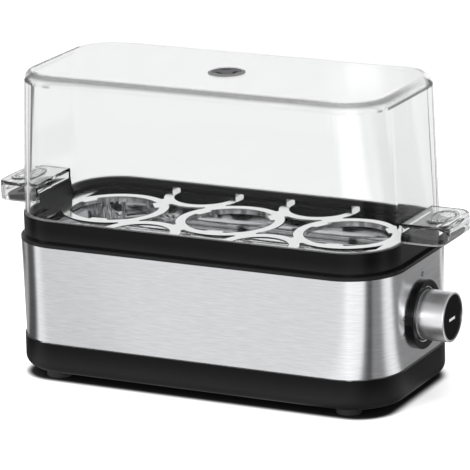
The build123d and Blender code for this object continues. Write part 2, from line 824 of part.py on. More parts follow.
# Egg tray: a sheet with three rings that hold an egg each on three rests. Curved arms touch the
# rings, run out to the long sides and end in tips that rest on the ledge.
arm_centres = [(x, side * arm_circle_offset) for x in gap_xs for side in (-1, 1)]
leg_centres = [(x, side * (arm_circle_offset + tray_half_width)) for x in gap_xs for side in (-1, 1)]
web_radius = ring_outer_radius + web_gap / 2
web_places = [
    Location(
        (
            gap_x + sx * (ring_pitch / 2 - web_radius * cos(radians(web_turn))),
            sy * web_radius * sin(radians(web_turn)),
            0,
        ),
        (0, 0, -sx * sy * web_turn),
    )
    for gap_x in gap_xs
    for sx in (-1, 1)
    for sy in (-1, 1)
]
strip_x = ring_pitch + ring_outer_radius
with BuildPart() as egg_tray:
    with BuildSketch(Plane.XY.offset(tray_bottom)):
        with Locations(*arm_centres):
            Circle(arm_outer_radius)
        with Locations(*leg_centres):
            Rectangle(2 * arm_outer_radius, 2 * tray_half_width)
        with Locations(*[(x, 0) for x in ring_xs]):
            Circle(ring_outer_radius)
        with Locations(*web_places):
            Rectangle(web_gap + 2 * web_lap, 2 * web_reach)
        with Locations((-strip_x, 0), (strip_x, 0)):
            RectangleRounded(end_strip_width, 2 * end_strip_half, end_strip_radius)
        Rectangle(body_length, 2 * tray_half_width, mode=Mode.INTERSECT)
        with Locations(*arm_centres):
            Circle(arm_inner_radius, mode=Mode.SUBTRACT)
        with Locations(*leg_centres):
            Rectangle(2 * arm_inner_radius, 2 * tray_half_width, mode=Mode.SUBTRACT)
        with Locations((-tongue_x, 0), (tongue_x, 0)):
            Rectangle(tongue_length, 2 * tongue_half)
        with Locations(*[(x, 0) for x in ring_xs]):
            Circle(ring_inner_radius, mode=Mode.SUBTRACT)
        for ring_x in ring_xs:
            with Locations((ring_x, 0)):
                with PolarLocations(ring_inner_radius, rest_count, rest_angle):
                    RectangleRounded(2 * rest_depth, rest_width, rest_edge_radius)
        with Locations(*rivet_points):
            Circle(rivet_radius + strap_fit, mode=Mode.SUBTRACT)
    extrude(amount=tray_sheet)
    with BuildSketch(Plane.XY.offset(tray_bottom)):
        with Locations(*[(x, 0) for x in ring_xs]):
            Circle(ring_inner_radius + tray_sheet)
            Circle(ring_inner_radius, mode=Mode.SUBTRACT)
    extrude(amount=-ring_lip_depth)
    with BuildSketch(Plane.XY.offset(tray_top)):
        with Locations(*tip_points):
            Rectangle(tip_width, tray_sheet)
    extrude(amount=tip_height)
finish(egg_tray, "egg_tray")

# Handle of the tray: a foot under the tongue, an upright plate and a looped tab that slopes down
tab_root_z = tray_top + handle_plate_rise
tab_plane = Plane(
    origin=(plate_outer_x, 0, tab_root_z),
    x_dir=(cos(radians(handle_tab_tilt)), 0, -sin(radians(handle_tab_tilt))),
    z_dir=(sin(radians(handle_tab_tilt)), 0, cos(radians(handle_tab_tilt))),
)


def loop_outline(start, end, half, radius):
    """Draw a plate from start to end along X with rounded outer corners."""
    with BuildSketch() as sketch:
        with Locations(((start + end) / 2, 0)):
            Rectangle(end - start, 2 * half)
        fillet(sketch.vertices().group_by(Axis.X)[-1], radius)
    return sketch.sketch


with BuildPart() as tray_handle_right:
    with BuildSketch(tab_plane):
        tab_outer = loop_outline(
            -handle_plate / 2, handle_reach, handle_plate_half, handle_tab_radius
        )
        tab_hole = loop_outline(
            handle_hole_inner,
            handle_reach - handle_hole_band,
            handle_plate_half - handle_hole_band,
            handle_hole_radius,
        )
        add(tab_outer)
        add(tab_hole, mode=Mode.SUBTRACT)
    extrude(amount=-handle_tab_thickness)
    with BuildSketch(Plane.YZ.offset(plate_inner_x)) as plate_face:
        with Locations((0, handle_foot_bottom)):
            Rectangle(
                2 * handle_plate_half,
                tab_root_z - handle_foot_bottom,
                align=(Align.CENTER, Align.MIN),
            )
        fillet(plate_face.vertices().group_by(Axis.Y)[-1], handle_plate_radius)
    extrude(amount=handle_plate)
    with BuildSketch(Plane.XY.offset(handle_foot_bottom)):
        with Locations((plate_inner_x, 0)):
            Rectangle(handle_foot_length, 2 * tongue_half, align=(Align.MAX, Align.CENTER))
        with Locations(*rivet_points):
            Circle(rivet_radius + strap_fit, mode=Mode.SUBTRACT)
    extrude(amount=handle_foot_height)
finish(tray_handle_right, "tray_handle_right")

with BuildPart() as tray_handle_left:
    mirror(tray_handle_right.part, about=Plane.YZ)
finish(tray_handle_left, "tray_handle_left")

# Rivets that hold the handles under the tongues of the tray, flush with its top
with BuildPart() as tray_rivets:
    with BuildSketch(Plane.XY.offset(handle_foot_bottom)):
        with Locations(*rivet_points):
            Circle(rivet_head_radius)
    extrude(amount=-rivet_head_height)
    rivet_rims = tray_rivets.edges().group_by(Axis.Z)[0]
    fillet(rivet_rims, rivet_edge_radius)
    with BuildSketch(Plane.XY.offset(handle_foot_bottom)):
        with Locations(*rivet_points):
            Circle(rivet_radius)
    extrude(amount=tray_top - handle_foot_bottom)
finish(tray_rivets, "tray_rivets")

# Clear handle of the lid: a hood with thin walls, open below, with a level top, a rounded outer
# end and small ribs across it
hood_root_x = end_x - collar_inset
hood_top = collar_top + hood_rise
rib_middle_x = hood_end - hood_end_radius - rib_pitch * (rib_count - 1) / 2 + rib_pitch


def hood_side(inset):
    """Side view of the hood, moved inwards by an inset, to be extruded to both sides."""
    with BuildSketch(Plane.XZ) as sketch:
        with Locations((hood_root_x - 4 * lid_wall, collar_top - lid_wall)):
            Rectangle(
                hood_reach + 4 * lid_wall - inset,
                hood_rise + lid_wall - inset,
                align=(Align.MIN, Align.MIN),
            )
        outer_top = sketch.vertices().group_by(Axis.X)[-1].sort_by(Axis.Z)[-1]
        fillet(outer_top, hood_end_radius - inset)
    return sketch.sketch


with BuildPart() as hood_ribs:
    extrude(hood_side(-rib_height), amount=hood_radius, both=True)
    with BuildSketch(Plane.XY.offset(hood_top - hood_end_radius)):
        with Locations((rib_middle_x, 0)):
            with GridLocations(rib_pitch, 1, rib_count, 1):
                SlotOverall(2 * hood_radius + rib_pitch, rib_width, rotation=90)
    extrude(amount=2 * hood_end_radius, mode=Mode.INTERSECT)

with BuildPart() as hood:
    with BuildSketch(Plane.XY.offset(collar_top)):
        add(loop_outline(hood_root_x - 2 * lid_wall, hood_end, hood_half_width, hood_radius))
    extrude(amount=hood_rise)
    hood_rim = hood.faces().sort_by(Axis.Z)[-1].edges().sort_by(Axis.X)[1:]
    fillet(hood_rim, hood_edge_radius)
    extrude(hood_side(0), amount=2 * hood_half_width, both=True, mode=Mode.INTERSECT)
    add(hood_ribs.part)
    with BuildPart(mode=Mode.PRIVATE) as hood_inside:
        with BuildSketch(Plane.XY.offset(collar_top - lid_wall)):
            add(
                loop_outline(
                    hood_root_x - 4 * lid_wall,
                    hood_end - hood_wall,
                    hood_half_width - hood_wall,
                    hood_radius - hood_wall,
                )
            )
        extrude(amount=2 * hood_rise)
        extrude(hood_side(hood_wall), amount=2 * hood_half_width, both=True, mode=Mode.INTERSECT)
    add(hood_inside.part, mode=Mode.SUBTRACT)

# Clear lid: a drafted shell with a rounded top, a vent hole, and a notch under each hood
with BuildPart() as lid_shell:
    slab(lid_inset, collar_top, lid_top, taper=lid_draft_angle)
    top_rim = lid_shell.faces().sort_by(Axis.Z)[-1].edges()
    fillet(top_rim, lid_edge_radius)
    add(hood.part)
    mirror(hood.part, about=Plane.YZ)
    with BuildPart(mode=Mode.PRIVATE) as lid_inside:
        slab(lid_inset + lid_wall, collar_top, lid_top - lid_wall, taper=lid_draft_angle)
        inside_rim = lid_inside.faces().sort_by(Axis.Z)[-1].edges()
        fillet(inside_rim, lid_edge_radius - lid_wall)
    add(lid_inside.part, mode=Mode.SUBTRACT)
    with BuildSketch(Plane.XY.offset(collar_top)):
        with Locations((hood_root_x, 0), (-hood_root_x, 0)):
            Rectangle(4 * lid_wall, 2 * (hood_half_width - hood_wall))
    extrude(amount=notch_height, mode=Mode.SUBTRACT)
    with BuildSketch(Plane.XY.offset(lid_top)):
        Circle(vent_radius)
    extrude(amount=-2 * lid_wall, mode=Mode.SUBTRACT)
finish(lid_shell, "lid_shell")

# Vent insert in the lid, held by a lip under the top and pierced for the steam
with BuildPart() as vent_insert:
    with BuildSketch(Plane.XY.offset(lid_top - lid_wall)):
        Circle(vent_radius - fit_gap)
    extrude(amount=lid_wall - vent_lip_height)
    with BuildSketch(Plane.XY.offset(lid_top - lid_wall)):
        Circle(vent_radius + vent_lip)
    extrude(amount=-vent_lip)
    with BuildSketch(Plane.XY.offset(lid_top - lid_wall - vent_lip)):
        with PolarLocations(vent_slot_radius, 3):
            SlotOverall(3 * vent_slot_width, vent_slot_width, rotation=90)
    extrude(amount=2 * lid_wall + vent_lip, mode=Mode.SUBTRACT)
finish(vent_insert, "vent_insert")
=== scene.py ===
# %% [markdown]
# # An egg cooker for three eggs
#
# This notebook dresses a finished CAD model of a small electric egg cooker: a brushed steel body on a black
# base, a black collar with an egg tray, and a clear lid that covers all of it. The CAD model is the frame.
# It is loaded first, and nothing in it is moved. What Blender adds is the finish of each surface, three
# pieces of thin trim, and the light of a small product studio.
#
# All lengths are metres, as Blender wants them. Sizes that are easier to read in millimetres are written
# with MM. The cooker's own axes are x along the body towards the knob, y to the back and z up.

import math

import bmesh
import bpy
from mathutils import Matrix, Vector


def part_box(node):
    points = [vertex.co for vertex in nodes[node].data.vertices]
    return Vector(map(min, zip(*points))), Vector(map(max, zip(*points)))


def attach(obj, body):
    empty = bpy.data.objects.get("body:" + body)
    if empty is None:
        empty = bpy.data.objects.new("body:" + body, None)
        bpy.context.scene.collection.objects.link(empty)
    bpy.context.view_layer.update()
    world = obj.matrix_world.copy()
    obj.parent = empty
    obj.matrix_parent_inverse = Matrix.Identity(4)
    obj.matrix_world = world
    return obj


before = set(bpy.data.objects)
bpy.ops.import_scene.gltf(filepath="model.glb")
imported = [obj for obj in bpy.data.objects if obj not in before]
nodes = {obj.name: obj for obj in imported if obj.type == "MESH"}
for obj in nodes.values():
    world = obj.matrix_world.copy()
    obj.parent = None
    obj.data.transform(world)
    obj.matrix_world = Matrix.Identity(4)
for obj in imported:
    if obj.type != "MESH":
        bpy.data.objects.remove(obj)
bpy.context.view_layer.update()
MM = 0.001

# %% [markdown]
# ## Directions around the cooker
#
# The camera, the lamps and the dark flags are all placed by how far round the cooker they stand and how
# high. Azimuth 0 is straight in front, 90 is at the knob's end and 180 is behind. One function turns such a
# pair of angles into a direction, so that no place has to be found by trial in x, y and z.

# %% Directions
def direction_at(azimuth, elevation):
    """The way from the cooker to a place, from its two angles in degrees."""
    side, rise = math.radians(azimuth), math.radians(elevation)
    return Vector((math.sin(side) * math.cos(rise), -math.cos(side) * math.cos(rise), math.sin(rise)))


print("the knob's end lies at", [round(v, 3) for v in direction_at(90, 0)])

# %% [markdown]
# ## The camera
#
# The cooker is seen from its right front corner, a little from above. A product photographer stands well
# back with a long lens, so that edges that are parallel on the object stay nearly parallel in the picture.
# The camera could be turned with a Track To constraint, but three columns of a matrix say the same without
# one: where its right, its up and its back point. The small roll is the tilt of the camera around its own
# line of sight.

# %% Camera
VIEW_AZIMUTH = 26.77
VIEW_ELEVATION = 15.78
VIEW_ROLL = math.radians(-1.5)
VIEW_DISTANCE = 1876.2 * MM
VIEW_TARGET = Vector((2.28, 0, 72.72)) * MM
LENS = 285.75

towards_camera = direction_at(VIEW_AZIMUTH, VIEW_ELEVATION)
level_right = (-towards_camera).cross(Vector((0, 0, 1))).normalized()
level_up = level_right.cross(-towards_camera)
right = level_right * math.cos(VIEW_ROLL) + level_up * math.sin(VIEW_ROLL)
up = level_up * math.cos(VIEW_ROLL) - level_right * math.sin(VIEW_ROLL)

camera_data = bpy.data.cameras.new("camera")
camera_data.lens = LENS
camera_data.clip_end = 20
camera = bpy.data.objects.new("camera", camera_data)
bpy.context.scene.collection.objects.link(camera)
turn = Matrix((right, up, towards_camera)).transposed().to_4x4()
camera.matrix_world = Matrix.Translation(VIEW_TARGET + towards_camera * VIEW_DISTANCE) @ turn
bpy.context.scene.camera = camera
print("camera at", [round(v, 3) for v in camera.location])

# %% [markdown]
# ## Shader sums in plain Python
#
# A material's maths is easiest to read as a formula. Wiring Math nodes one by one would take three lines
# for each plus sign. Wire holds one output socket instead, and each operator on it adds the Math node that
# does that sum. The reflected forms let a plain number stand on the left, as in 1 - mask.

# %% Wire
class Wire:
    """One output socket of a node tree, which can be used in sums."""

    def __init__(self, finish, socket):
        self.finish = finish
        self.socket = socket

    def sum_with(self, operation, first, second):
        return self.finish.node("ShaderNodeMath", {"operation": operation}, {0: first, 1: second})

    def __add__(self, other):
        return self.sum_with("ADD", self, other)

    def __radd__(self, other):
        return self.sum_with("ADD", other, self)

    def __sub__(self, other):
        return self.sum_with("SUBTRACT", self, other)

    def __rsub__(self, other):
        return self.sum_with("SUBTRACT", other, self)

    def __mul__(self, other):
        return self.sum_with("MULTIPLY", self, other)

    def __rmul__(self, other):
        return self.sum_with("MULTIPLY", other, self)

    def __pow__(self, other):
        return self.sum_with("POWER", self, other)

    def __abs__(self):
        return self.sum_with("ABSOLUTE", self, 0.0)

    def at_least(self, limit):
        return self.sum_with("MAXIMUM", self, limit)

    def above(self, limit):
        """1 where the value is above the limit, and 0 elsewhere."""
        return self.sum_with("GREATER_THAN", self, limit)


# %% [markdown]
# ## One class for a node tree
#
# Finish holds one node tree, whether of a material or of the world. Its node method adds any node from its
# type, its settings and its inputs, and gives back the output as a Wire. The other methods name the few
# steps that the finishes here are made of: where a point is, noise, a mix of two colours, a soft slope and
# a bump.

# %% Finish
class Finish:
    """A node tree that is built from Python."""

    def __init__(self, tree):
        self.tree = tree
        tree.nodes.clear()

    def node(self, kind, settings=None, inputs=None, output=0):
        made = self.tree.nodes.new(kind)
        for name, value in (settings or {}).items():
            setattr(made, name, value)
        for name, value in (inputs or {}).items():
            if isinstance(value, Wire):
                self.tree.links.new(value.socket, made.inputs[name])
            else:
                made.inputs[name].default_value = value
        return Wire(self, made.outputs[output]) if made.outputs else made

    def split(self, vector):
        """The three parts of a vector, as wires."""
        parts = self.node("ShaderNodeSeparateXYZ", {}, {0: vector})
        return [Wire(self, parts.socket.node.outputs[i]) for i in range(3)]

    def place(self):
        """The point on the piece, in metres from the cooker's origin."""
        return self.node("ShaderNodeTexCoord", output=3)

    def stretch(self, vector, scale):
        """A vector stretched by a factor along each axis."""
        return self.node("ShaderNodeMapping", {}, {"Vector": vector, "Scale": scale})

    def noise(self, vector, scale, detail=2.0, rough=0.5):
        inputs = {"Vector": vector, "Scale": scale, "Detail": detail, "Roughness": rough}
        return self.node("ShaderNodeTexNoise", {}, inputs)

    def mix(self, factor, first, second):
        """One colour over another."""
        return self.node("ShaderNodeMix", {"data_type": "RGBA"}, {0: factor, 6: first, 7: second}, output=2)

    def over(self, factor, first, second):
        """One shader over another."""
        return self.node("ShaderNodeMixShader", {}, {0: factor, 1: first, 2: second})

    def steady(self, value):
        """The same number everywhere."""
        return self.node("ShaderNodeMath", {"operation": "ADD"}, {0: value, 1: 0.0})

    def smooth_step(self, value, start, end):
        """0 before start, 1 past end, and a soft slope between them."""
        inputs = {0: value, 1: start, 2: end, 3: 0.0, 4: 1.0}
        return self.node("ShaderNodeMapRange", {"interpolation_type": "SMOOTHSTEP"}, inputs)

    def bump(self, height, strength, distance):
        return self.node("ShaderNodeBump", {}, {"Height": height, "Strength": strength, "Distance": distance})

    def surface(self, shader):
        """Wires a shader to the output of a material."""
        self.node("ShaderNodeOutputMaterial", {}, {"Surface": shader})


def new_finish(name):
    material = bpy.data.materials.new(name)
    material.use_nodes = True
    return material, Finish(material.node_tree)


def grey(value):
    return (value, value, value, 1)


print("a grey of 0.9, as a colour:", grey(0.9))

# %% [markdown]
# ## What kind of ray is asking
#
# The camera has to see plain white behind the cooker. Steel and clear plastic look best when what they
# mirror or bend isn't plain, and the lamps alone can't give both. Cycles tells a shader what kind of ray
# has reached it, so the floor and the room may answer each kind with its own brightness, and no lamp has to
# be made stronger.

# %% Kinds of ray
def ray(finish, fact):
    """One fact about the ray that asks, such as Is Camera Ray or Glossy Depth."""
    path = finish.node("ShaderNodeLightPath")
    return Wire(finish, path.socket.node.outputs[fact])


def mirrored_or_bent(finish):
    """1 for a ray off a shiny surface or through a clear one, and 0 for all others."""
    return ray(finish, "Is Glossy Ray").at_least(ray(finish, "Is Transmission Ray"))


def off_metal(finish):
    """1 where a shiny surface has mirrored the ray at least once."""
    return ray(finish, "Glossy Depth").above(0.5)


def through_lid(finish):
    """1 where the ray has passed through clear plastic at least once."""
    return ray(finish, "Transmission Depth").above(0.5)


# %% [markdown]
# ## The flags
#
# The cooker stands on a white sweep in even light. Brushed steel shows the room more than it shows the
# lamps: the front of the body mirrors the sweep in front of it, and each rounded corner mirrors a wide fan
# of the room. Photographers stand black flags at the sides, so that such a corner gets two dark lines and
# the eye can see that it is round. Real boards could stand here too, but they would shade the object. So
# the flags are sectors around the cooker in which mirrored light is weaker, each with a soft edge, and a
# few of them are brighter.

# %% Flags
# Each row: azimuth of the middle, half width and soft edge in degrees, and the share of light it takes away
FLAGS = [
    (-98, 8, 9, 0.50),
    (-78, 4, 9, 0.90),
    (-61, 2, 7, -0.15),
    (-47, 4, 14, 0.12),
    (42, 5, 14, -0.32),
    (60, 2, 5, 0.80),
    (70, 5, 9, 0.66),
    (91, 2, 5, -0.20),
    (121, 18, 8, 0.66),
]


def flag_inside(finish, ahead, azimuth, half, soft):
    """1 inside one flag's sector and 0 outside it, from a level direction."""
    inputs = {0: ahead, 1: direction_at(azimuth, 0)}
    facing = finish.node("ShaderNodeVectorMath", {"operation": "DOT_PRODUCT"}, inputs, output=1)
    return finish.smooth_step(facing, math.cos(math.radians(half + soft)), math.cos(math.radians(half)))


def studio_level(finish, direction):
    """How bright metal finds the studio in a direction from the cooker."""
    flat = finish.node("ShaderNodeVectorMath", {"operation": "MULTIPLY"}, {0: direction, 1: (1, 1, 0)})
    ahead = finish.node("ShaderNodeVectorMath", {"operation": "NORMALIZE"}, {0: flat})
    level = finish.steady(1.0)
    for azimuth, half, soft, depth in FLAGS:
        level = level * (1.0 - flag_inside(finish, ahead, azimuth, half, soft) * depth)
    return 1.0 - (1.0 - level) * off_metal(finish)


print(len(FLAGS), "flags stand around the cooker")

# %% [markdown]
# ## The room
#
# The heating bowl is polished, and an even white room would make it one flat patch of white. A real studio
# has lamps, gaps and a ceiling overhead, so what the bowl mirrors under the lid is bright and dark in turn.
# Here the room overhead has soft stripes, a sine of the azimuth that is pushed towards its ends. Metal
# outside the lid finds an even grey there. Diffuse surfaces are lit by a plain level, and the camera sees
# white.

# %% World
WORLD_LIGHT = 0.62
STRIPE_COUNT = 9.0
STRIPE_LIGHT = 1.2
STRIPE_DARK = 0.03
STRIPE_EDGE = 0.2
EVEN_OVERHEAD = 0.5
OVERHEAD_FROM = math.sin(math.radians(20))
OVERHEAD_FULL = math.sin(math.radians(32))

world = bpy.data.worlds.new("studio")
world.use_nodes = True
bpy.context.scene.world = world
sky = Finish(world.node_tree)
direction = sky.node("ShaderNodeTexCoord")
side_x, side_y, rise = sky.split(direction)

around = sky.node("ShaderNodeMath", {"operation": "ARCTAN2"}, {0: side_x, 1: side_y})
wave = sky.node("ShaderNodeMath", {"operation": "SINE"}, {0: around * STRIPE_COUNT})
stripes = sky.smooth_step(wave, -STRIPE_EDGE, STRIPE_EDGE) * (STRIPE_LIGHT - STRIPE_DARK) + STRIPE_DARK
overhead = stripes * through_lid(sky) + (1.0 - through_lid(sky)) * EVEN_OVERHEAD
high = sky.smooth_step(rise, OVERHEAD_FROM, OVERHEAD_FULL) * off_metal(sky)
room = studio_level(sky, direction) * (1.0 - high) + overhead * high

plain = ray(sky, "Is Camera Ray") * (1 - WORLD_LIGHT) + WORLD_LIGHT
light_level = room * mirrored_or_bent(sky) + plain * (1.0 - mirrored_or_bent(sky))
background = sky.node("ShaderNodeBackground", {}, {"Color": grey(1.0), "Strength": light_level})
sky.node("ShaderNodeOutputWorld", {}, {"Surface": background})
print("the room has", len(world.node_tree.nodes), "nodes")

# %% [markdown]
# ## The sweep under the cooker
#
# The floor is a plain sheet, far wider than the picture. What matters on it is how far a point lies outside
# the cooker's rounded footprint. That distance is the usual one for a rounded rectangle: how far the point
# is past the straight sides on both axes, as one length, less the corner's radius. Where the base stands,
# the floor is painted nearly black, a painted contact shadow as dark as any narrow gap that no light
# reaches, and the picture gets its line under the base.

# %% Floor sheet and footprint
FLOOR_SIZE = 6.0
FOOTPRINT = (83 * MM, 28 * MM)
FOOTPRINT_CORNER = 16 * MM

floor_mesh = bpy.data.meshes.new("floor")
sheet = bmesh.new()
bmesh.ops.create_grid(sheet, x_segments=1, y_segments=1, size=FLOOR_SIZE)
sheet.to_mesh(floor_mesh)
sheet.free()
floor = bpy.data.objects.new("floor", floor_mesh)
bpy.context.scene.collection.objects.link(floor)

floor_material, paint = new_finish("floor_white")
floor_mesh.materials.append(floor_material)
floor_x, floor_y, _ = paint.split(paint.place())
beyond_x = (abs(floor_x) - FOOTPRINT[0]).at_least(0.0)
beyond_y = (abs(floor_y) - FOOTPRINT[1]).at_least(0.0)
clear_of = (beyond_x * beyond_x + beyond_y * beyond_y) ** 0.5 - FOOTPRINT_CORNER
print("the floor is", FLOOR_SIZE * 2, "m wide")

# %% [markdown]
# ## What the camera sees of the floor
#
# The floor keeps the cooker's shadow, so it is a matt surface that the lamps light. A white floor in such
# even light comes out pale grey, and stronger lamps would burn out the steel. So the camera alone finds
# some light of the floor's own on it, from a few millimetres outside the base. Nearer the base that glow is
# left out, a painted shade around the base in which the lamps' real shadow shows at full depth.

# %% Floor for the camera
FLOOR_WHITE = 0.9
# Colour of the painted contact shadow under the base, and its width
PAINTED_CONTACT_SHADOW = 0.03
CONTACT_SHADOW_WIDTH = 5 * MM
CAMERA_LIFT = 0.5
LIFT_SLOPE = (1 * MM, 7 * MM)

# Painted contact shadow: the floor's colour goes from nearly black under the base to white a few millimetres
# out.
white = paint.mix(paint.smooth_step(clear_of, 0.0, CONTACT_SHADOW_WIDTH), grey(PAINTED_CONTACT_SHADOW), grey(FLOOR_WHITE))
matt = paint.node("ShaderNodeBsdfDiffuse", {}, {"Color": white})
# Painted shade: the camera's glow is left out within a few millimetres of the base.
lift_level = ray(paint, "Is Camera Ray") * paint.smooth_step(clear_of, *LIFT_SLOPE) * CAMERA_LIFT
lift = paint.node("ShaderNodeEmission", {}, {"Color": grey(1.0), "Strength": lift_level})
lit = paint.node("ShaderNodeAddShader", {}, {0: matt, 1: lift})
print("the camera's lift is", CAMERA_LIFT)

# %% [markdown]
# ## What the lid shows of the floor
#
# Clear plastic has no colour to be seen by. It shows by its edges, which bend what stands behind it.
# Photographers put two narrow dark boards behind a clear object, just outside the picture, and its outline
# turns dark. Between them the wall of the lid has one bright band and one soft grey one, as from a window,
# which are lighter and darker strips of the sweep.

# %% Panels and strips behind the cooker
PANEL_INNER_EDGE = (185 * MM, 205 * MM)
PANEL_OUTER_EDGE = (245 * MM, 270 * MM)
PANEL_DEPTH = 0.85
BEHIND_SLOPE = (120 * MM, 200 * MM)
# Each row: middle, half width and soft edge in mm to the right, and how much brighter the strip is
STRIPS = [(76, 5, 9, 0.20), (112, 8, 10, -0.10)]

view_side = math.radians(VIEW_AZIMUTH)
to_the_right = floor_x * math.cos(view_side) + floor_y * math.sin(view_side)
behind = floor_y * math.cos(view_side) - floor_x * math.sin(view_side)
bent = ray(paint, "Is Transmission Ray")
far_back = paint.smooth_step(behind, *BEHIND_SLOPE)
panels = paint.smooth_step(abs(to_the_right), *PANEL_INNER_EDGE)
panels = panels * (1.0 - paint.smooth_step(abs(to_the_right), *PANEL_OUTER_EDGE))
shade = 1.0 - panels * far_back * PANEL_DEPTH
for middle, half, soft, change in STRIPS:
    inside = 1.0 - paint.smooth_step(abs(to_the_right - middle * MM), half * MM, (half + soft) * MM)
    shade = shade + inside * bent * far_back * change
print("two panels and", len(STRIPS), "strips lie behind the cooker")

# %% [markdown]
# ## What metal shows of the floor
#
# The front of the steel mirrors the sweep, a little darker than the sweep is. Close to the base the sweep's
# glow falls off, a painted shadow of the cooker that the steel and the base mirror. The last line mixes the
# two answers: one for mirrored and bent rays, and one for all others.

# %% Floor for metal and clear plastic
MIRRORED_LEVEL = 0.84
MIRRORED_SHADOW_SLOPE = (5 * MM, 32 * MM)
MIRRORED_SHADOW_LEVEL = 0.35

sweep_level = studio_level(paint, paint.place()) * (bent * (1 - MIRRORED_LEVEL) + MIRRORED_LEVEL) * shade
# Painted shadow: near the base the sweep glows less, as the cooker's own shadow seen in mirrors.
sweep_level = sweep_level * (paint.smooth_step(clear_of, *MIRRORED_SHADOW_SLOPE) * (1 - MIRRORED_SHADOW_LEVEL) + MIRRORED_SHADOW_LEVEL)
sweep = paint.node("ShaderNodeEmission", {}, {"Color": grey(1.0), "Strength": sweep_level})
paint.surface(paint.over(mirrored_or_bent(paint), lit, sweep))
print("the floor's paint has", len(floor_material.node_tree.nodes), "nodes")

# %% [markdown]
# ## The lamps
#
# Two large soft lamps, one from the front left and one from above, light the matt and the brushed surfaces.
# Seen in a mirror they would be hard white squares, so mirrored and bent rays don't find them. Two narrow
# strips stand low in front and at the left, and draw a thin bright line on rounded plastic and on the knob.

# %% Lamps
LAMP_AIM = Vector((0, 0, 70)) * MM


def lamp(name, azimuth, elevation, distance, size, watts, mirrored=True):
    """An area lamp that looks at the middle of the cooker."""
    light = bpy.data.lights.new(name, "AREA")
    light.shape = "RECTANGLE"
    light.size, light.size_y = size
    light.energy = watts
    holder = bpy.data.objects.new(name, light)
    direction = direction_at(azimuth, elevation)
    holder.location = direction * distance + LAMP_AIM
    holder.rotation_euler = direction.to_track_quat("Z", "Y").to_euler()
    holder.visible_glossy = mirrored
    holder.visible_transmission = mirrored
    bpy.context.scene.collection.objects.link(holder)
    return holder


lamp("key", azimuth=-35, elevation=45, distance=1.6, size=(1.0, 1.0), watts=12, mirrored=False)
front_strip = lamp("strip", azimuth=17, elevation=9, distance=1.5, size=(0.16, 0.5), watts=4)
side_strip = lamp("edge", azimuth=-60, elevation=9, distance=1.5, size=(0.10, 0.5), watts=3)
lamp("top", azimuth=20, elevation=85, distance=1.4, size=(1.2, 0.8), watts=8, mirrored=False)
print(len(bpy.data.lights), "lamps")

# %% [markdown]
# ## A card in front of the strips
#
# In the polished bowl the two strips would burn white patches, through the lid as well. A photographer
# holds a card between a lamp and such a place. In Blender, light linking does it: a lamp gets a collection
# of objects that it leaves out.

# %% Cards
SHADED_NODES = ["heating_bowl", "egg_tray", "lid_shell"]


def keep_from(holder, names):
    """Stands a card between a lamp and these nodes."""
    shaded = bpy.data.collections.new(holder.name + "_card")
    for name in names:
        shaded.objects.link(nodes[name])
    for member in shaded.collection_objects:
        member.light_linking.link_state = "EXCLUDE"
    holder.light_linking.receiver_collection = shaded


for strip in (front_strip, side_strip):
    keep_from(strip, SHADED_NODES)
    print(strip.name, "leaves out", ", ".join(SHADED_NODES))

# %% [markdown]
# ## Moulded plastic
#
# The base, the collar and the handles are moulded with a fine satin grain, so that fingerprints and small
# scratches don't show. The grain could be carved into the mesh, but it is finer than any mesh here would
# be. A Bump node on a fine noise gives it, and the same noise makes the surface a little rougher in places.
# A broad noise keeps large faces from being one flat tone. The black walls are painted a touch lighter
# lower down, a painted reflection of the white table that stands in for the light it throws on them.

# %% Moulded plastic
# Share of white painted onto the black walls at their foot, a painted reflection of the table
PAINTED_TABLE_LIGHT = 0.012
GRAIN_DEPTH = 0.2 * MM
BROAD_SCALE = 30.0


def moulded_plastic(name, colour, roughness, grain, shine=0.5, painted_light_below=None):
    """Plastic of one colour. The last argument, a span of heights in mm, paints it lighter downwards as a
    painted reflection of the table.
    """
    material, finish = new_finish(name)
    point = finish.place()
    fine = finish.noise(point, grain, 3.0, 0.6)
    broad = finish.noise(point, BROAD_SCALE)
    tone = finish.mix(broad, [c * 0.85 for c in colour] + [1], [c * 1.15 for c in colour] + [1])
    # Painted light: lower down the colour is mixed towards white, as the reflection of the white table.
    if painted_light_below:
        low, high = painted_light_below
        height = finish.split(point)[2]
        tone = finish.mix(finish.smooth_step(height, high * MM, low * MM) * PAINTED_TABLE_LIGHT, tone, grey(1.0))
    shader = finish.node("ShaderNodeBsdfPrincipled", {}, {
        "Base Color": tone,
        "Roughness": roughness + (broad - 0.5) * 0.08 + (fine - 0.5) * 0.06,
        "Specular IOR Level": shine,
        "Normal": finish.bump(fine, 0.12, GRAIN_DEPTH),
    })
    finish.surface(shader)
    return material


# %% [markdown]
# ## The plastics outside
#
# The black pieces differ in shine. The base, the collar and the tray's handles are satin, and the knob's
# cap and the bezel are polished. Black plastic in a white studio easily looks grey, because it mirrors the
# studio, so most of them have a low specular level. The colour alone couldn't make them blacker.

# %% The black and grey plastics outside
satin_black = moulded_plastic("satin_black", (0.003, 0.003, 0.0035), 0.33, 1500.0, 0.12, painted_light_below=(6, 20))
collar_black = moulded_plastic("collar_black", (0.002, 0.002, 0.0025), 0.30, 1500.0, 0.15, painted_light_below=(70, 80))
cap_black = moulded_plastic("cap_black", (0.002, 0.002, 0.0022), 0.12, 900.0, 0.03)
gloss_black = moulded_plastic("gloss_black", (0.004, 0.004, 0.0045), 0.14, 900.0, 0.14)
foot_rubber = moulded_plastic("foot_rubber", (0.02, 0.02, 0.02), 0.7, 1200.0)
vent_grey = moulded_plastic("vent_grey", (0.07, 0.07, 0.075), 0.5, 1500.0, 0.12)
pointer_white = moulded_plastic("pointer_white", (0.85, 0.85, 0.85), 0.3, 1200.0)
print(len(bpy.data.materials), "materials so far")

